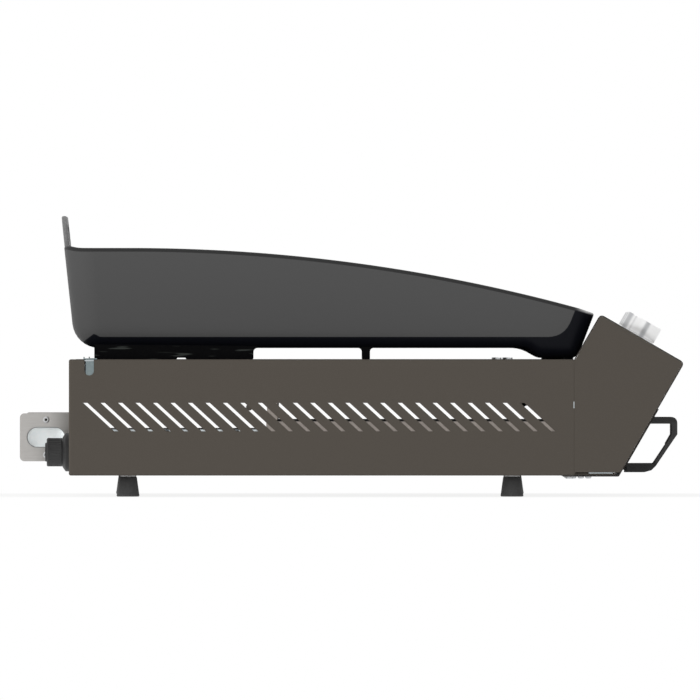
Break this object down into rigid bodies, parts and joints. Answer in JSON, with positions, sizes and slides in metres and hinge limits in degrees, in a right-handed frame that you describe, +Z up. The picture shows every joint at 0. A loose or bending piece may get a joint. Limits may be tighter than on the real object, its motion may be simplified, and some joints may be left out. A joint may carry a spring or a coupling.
{
  "type": "outdoor gas griddle station",
  "caption": "Table-top gas griddle with a deep cast pan on a slotted sheet body, a sloping control box with knobs, a front grease drawer and short rubber feet.",
  "frame": {"origin": "centre of the bounding box in plan, on the surface that the feet stand on", "axes": "+Z up, -Y towards the user (control panel), +X to the right of a user who faces the griddle; the picture looks along +X"},
  "size_m": [0.7, 0.6638, 0.2824],
  "materials": {
    "bronze_paint": "fine textured powder coat, dark bronze grey",
    "zinc_plate": "galvanised",
    "foot_rubber": "matt moulded",
    "screw_steel": "zinc plated",
    "pan_coating": "dark ceramic coating",
    "burner_steel": "stainless tube, satin",
    "valve_brass": "machined",
    "knob_metal": "polished",
    "cell_steel": "plain jacket",
    "black_plastic": "moulded",
    "ceramic": "white ceramic",
    "lead_insulation": "silicone sleeve",
    "runner_steel": "plain steel",
    "tray_enamel": "black enamel",
    "brushed_lug": "brushed stainless"
  },
  "bodies": {
    "chassis": {"side_panel_left": "bronze_paint", "side_panel_right": "bronze_paint", "rear_panel": "bronze_paint", "base_panel": "bronze_paint", "heat_shield": "zinc_plate", "firewall": "bronze_paint", "control_side_left": "bronze_paint", "control_side_right": "bronze_paint", "control_fascia": "bronze_paint", "foot_front_left": "foot_rubber", "foot_front_right": "foot_rubber", "foot_rear_left": "foot_rubber", "foot_rear_right": "foot_rubber", "foot_screws": "screw_steel", "crossbar_front": "bronze_paint", "crossbar_middle": "bronze_paint", "burner_shelf": "zinc_plate", "pan_locator_left": "zinc_plate", "pan_locator_right": "zinc_plate", "burner_left": "burner_steel", "burner_center": "burner_steel", "burner_right": "burner_steel", "valve_left": "valve_brass", "valve_center": "valve_brass", "valve_right": "valve_brass", "knob_bezel_left": "knob_metal", "knob_bezel_center": "knob_metal", "knob_bezel_right": "knob_metal", "gas_orifices": "valve_brass", "gas_manifold": "zinc_plate", "supply_pipe": "zinc_plate", "gas_inlet": "valve_brass", "igniter_housing": "black_plastic", "igniter_battery": "cell_steel", "ignition_electrodes": "ceramic", "ignition_leads": "lead_insulation", "drawer_runner_left": "runner_steel", "drawer_runner_right": "runner_steel", "rear_lug_left": "brushed_lug", "rear_lug_right": "brushed_lug", "lug_cup_left": "zinc_plate", "lug_cup_right": "zinc_plate", "lug_rivets": "screw_steel", "base_screws": "screw_steel", "flange_screws": "screw_steel"},
    "pan": {"griddle_pan": "pan_coating"},
    "drawer": {"grease_tray": "tray_enamel", "drawer_front": "bronze_paint", "drawer_handle": "black_plastic", "drawer_screws": "screw_steel"},
    "igniter_cap": {"igniter_cap": "black_plastic"},
    "igniter_button": {"igniter_button": "black_plastic"},
    "plug_left": {"valve_plug_left": "valve_brass"},
    "knob_left": {"knob_left": "knob_metal"},
    "plug_center": {"valve_plug_center": "valve_brass"},
    "knob_center": {"knob_center": "knob_metal"},
    "plug_right": {"valve_plug_right": "valve_brass"},
    "knob_right": {"knob_right": "knob_metal"}
  },
  "joints": [
    {"name": "pan_lift", "type": "slide", "parent": "chassis", "child": "pan", "axis": [0, 0, 1], "range_m": [0, 0.15]},
    {"name": "drawer_slide", "type": "slide", "parent": "chassis", "child": "drawer", "axis": [0, -1, 0], "range_m": [0, 0.3]},
    {"name": "cap_pull", "type": "slide", "parent": "chassis", "child": "igniter_cap", "axis": [0, 1, 0], "range_m": [0, 0.04]},
    {"name": "button_push", "type": "slide", "parent": "igniter_cap", "child": "igniter_button", "axis": [0, -1, 0], "range_m": [0, 0.0015], "stiffness_N_per_m": 900, "springref_m": -0.003},
    {"name": "valve_turn_left", "type": "hinge", "parent": "chassis", "child": "plug_left", "pos_m": [-0.215, -0.28573, 0.1598], "axis": [0, -0.5, 0.866], "range_deg": [0, 180]},
    {"name": "knob_push_left", "type": "slide", "parent": "plug_left", "child": "knob_left", "axis": [0, 0.5, -0.866], "range_m": [0, 0.0026], "stiffness_N_per_m": 900, "springref_m": -0.004},
    {"name": "valve_turn_center", "type": "hinge", "parent": "chassis", "child": "plug_center", "pos_m": [0, -0.28573, 0.1598], "axis": [0, -0.5, 0.866], "range_deg": [0, 180]},
    {"name": "knob_push_center", "type": "slide", "parent": "plug_center", "child": "knob_center", "axis": [0, 0.5, -0.866], "range_m": [0, 0.0026], "stiffness_N_per_m": 900, "springref_m": -0.004},
    {"name": "valve_turn_right", "type": "hinge", "parent": "chassis", "child": "plug_right", "pos_m": [0.215, -0.28573, 0.1598], "axis": [0, -0.5, 0.866], "range_deg": [0, 180]},
    {"name": "knob_push_right", "type": "slide", "parent": "plug_right", "child": "knob_right", "axis": [0, 0.5, -0.866], "range_m": [0, 0.0026], "stiffness_N_per_m": 900, "springref_m": -0.004}
  ]
}
